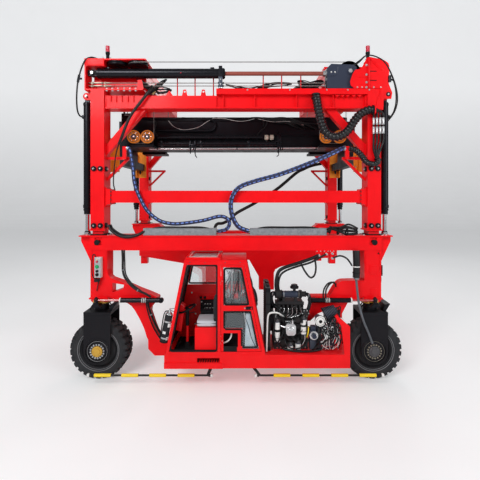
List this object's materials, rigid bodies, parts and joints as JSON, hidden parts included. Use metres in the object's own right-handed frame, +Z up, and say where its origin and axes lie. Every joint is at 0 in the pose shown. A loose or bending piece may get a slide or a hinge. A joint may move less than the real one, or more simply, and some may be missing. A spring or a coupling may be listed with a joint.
{
  "type": "three-wheeled telescopic container gantry crane",
  "caption": "Tall red rubber tyred gantry crane on steered wheels, with telescopic masts, a rope hoist, a black container spreader, and a cab and engine on a low side platform.",
  "frame": {"origin": "on the ground, below the centre of the whole machine's box", "axes": "+X along the direction of travel, to the right as seen from the cab side; +Y from the cab side to the far side; +Z up"},
  "size_m": [7.1298, 4.9438, 7.175],
  "materials": {
    "red_paint": "glossy enamel",
    "black_paint": "satin enamel",
    "chrome_rod": "polished",
    "rod_coat": "satin oxide primer",
    "orange_paint": "satin enamel",
    "grey_paint": "satin enamel",
    "galvanised": "dull zinc",
    "gold_paint": "satin enamel",
    "yellow_paint": "glossy enamel",
    "cast_black": "rough casting",
    "tyre_rubber": "matt rubber",
    "hose_guard": "spiral wrapped",
    "wire_rope": "greased strands",
    "cab_pane": "clear",
    "seat_cloth": "woven",
    "lamp_red": "ribbed lens",
    "rubber_black": "smooth"
  },
  "bodies": {
    "near_chassis": {"near_chassis_beam": "red_paint", "near_lower_legs": "red_paint", "near_masts": "red_paint", "near_lift_rods": "chrome_rod", "left_arm": "red_paint", "right_arm": "red_paint", "platform": "red_paint", "cab_frame": "red_paint", "cab_roof": "red_paint", "cab_glass": "cab_pane", "cab_console": "red_paint", "driver_seat": "seat_cloth", "engine": "cast_black", "radiator": "black_paint", "hydraulics": "grey_paint", "safety_bars": "yellow_paint", "cable_trays": "galvanised", "steering_barrels": "black_paint", "service_boxes": "black_paint"},
    "gantry": {"near_sleeves": "red_paint", "far_sleeves": "red_paint", "near_mid_beam": "red_paint", "far_mid_beam": "red_paint", "near_top_beam": "red_paint", "far_top_beam": "red_paint", "cross_beams": "red_paint", "corner_braces": "red_paint", "left_tower": "red_paint", "right_tower": "red_paint", "hoist_cylinder": "black_paint", "lift_cylinders": "black_paint", "tower_sheaves": "black_paint", "beacons": "lamp_red", "pad_adjusters": "black_paint", "left_hose": "hose_guard", "right_hose": "hose_guard", "rope_falls": "wire_rope", "cable_duct": "rubber_black"},
    "far_chassis": {"far_chassis_frame": "red_paint", "far_masts": "red_paint", "far_lift_rods": "chrome_rod"},
    "left_yoke": {"left_yoke": "black_paint"},
    "right_yoke": {"right_yoke": "black_paint"},
    "far_yoke": {"far_yoke": "black_paint"},
    "left_wheel": {"left_tyre": "tyre_rubber", "left_rim": "gold_paint"},
    "right_wheel": {"right_tyre": "tyre_rubber", "right_rim": "black_paint"},
    "far_wheel": {"far_tyre": "tyre_rubber", "far_rim": "black_paint"},
    "left_steer_rod": {"left_steer_rod": "chrome_rod"},
    "right_steer_rod": {"right_steer_rod": "chrome_rod"},
    "spreader": {"spreader_box": "black_paint", "spreader_ends": "black_paint", "spreader_sheaves": "orange_paint", "corner_guides": "orange_paint"},
    "hoist_block": {"hoist_rod": "rod_coat", "sheave_block": "grey_paint"},
    "cab_door": {"door_frame": "red_paint", "door_glass": "cab_pane"}
  },
  "joints": [
    {"name": "lift", "type": "slide", "parent": "near_chassis", "child": "gantry", "axis": [0, 0, 1], "range_m": [0, 1.5], "deforming": ["left_hose", "right_hose"]},
    {"name": "far_lift", "type": "slide", "parent": "gantry", "child": "far_chassis", "axis": [0, 0, -1], "range_m": [0, 1.5]},
    {"name": "hoist", "type": "slide", "parent": "gantry", "child": "spreader", "axis": [0, 0, -1], "range_m": [0, 2.1], "deforming": ["rope_falls"]},
    {"name": "block_travel", "type": "slide", "parent": "gantry", "child": "hoist_block", "axis": [-1, 0, 0], "range_m": [0, 2.1]},
    {"name": "left_steer", "type": "hinge", "parent": "near_chassis", "child": "left_yoke", "pos_m": [-2.94, -1.6345, 1.5], "axis": [0, 0, 1], "range_deg": [-30, 30]},
    {"name": "right_steer", "type": "hinge", "parent": "near_chassis", "child": "right_yoke", "pos_m": [2.94, -1.6345, 1.5], "axis": [0, 0, 1], "range_deg": [-30, 30]},
    {"name": "far_steer", "type": "hinge", "parent": "far_chassis", "child": "far_yoke", "pos_m": [0, 2.1655, 1.5], "axis": [0, 0, 1], "range_deg": [-30, 30]},
    {"name": "left_rod_slide", "type": "slide", "parent": "near_chassis", "child": "left_steer_rod", "axis": [1, 0, 0], "range_m": [-0.18, 0.18]},
    {"name": "right_rod_slide", "type": "slide", "parent": "near_chassis", "child": "right_steer_rod", "axis": [1, 0, 0], "range_m": [-0.18, 0.18]},
    {"name": "left_roll", "type": "hinge", "parent": "left_yoke", "child": "left_wheel", "pos_m": [-2.94, -1.6345, 0.625], "axis": [0, 1, 0], "continuous": true},
    {"name": "right_roll", "type": "hinge", "parent": "right_yoke", "child": "right_wheel", "pos_m": [2.94, -1.6345, 0.625], "axis": [0, 1, 0], "continuous": true},
    {"name": "far_roll", "type": "hinge", "parent": "far_yoke", "child": "far_wheel", "pos_m": [0, 2.1655, 0.625], "axis": [0, 1, 0], "continuous": true},
    {"name": "door_hinge", "type": "hinge", "parent": "near_chassis", "child": "cab_door", "pos_m": [-0.286, -2.4485, 1.7], "axis": [0, 0, -1], "range_deg": [0, 100]}
  ],
  "couplings": [
    {"joint": "far_lift", "follows": "lift", "ratio": 1},
    {"joint": "block_travel", "follows": "hoist", "ratio": 1},
    {"joint": "left_rod_slide", "follows": "left_steer", "m_per_rad": 0.33},
    {"joint": "right_rod_slide", "follows": "right_steer", "m_per_rad": 0.33}
  ]
}
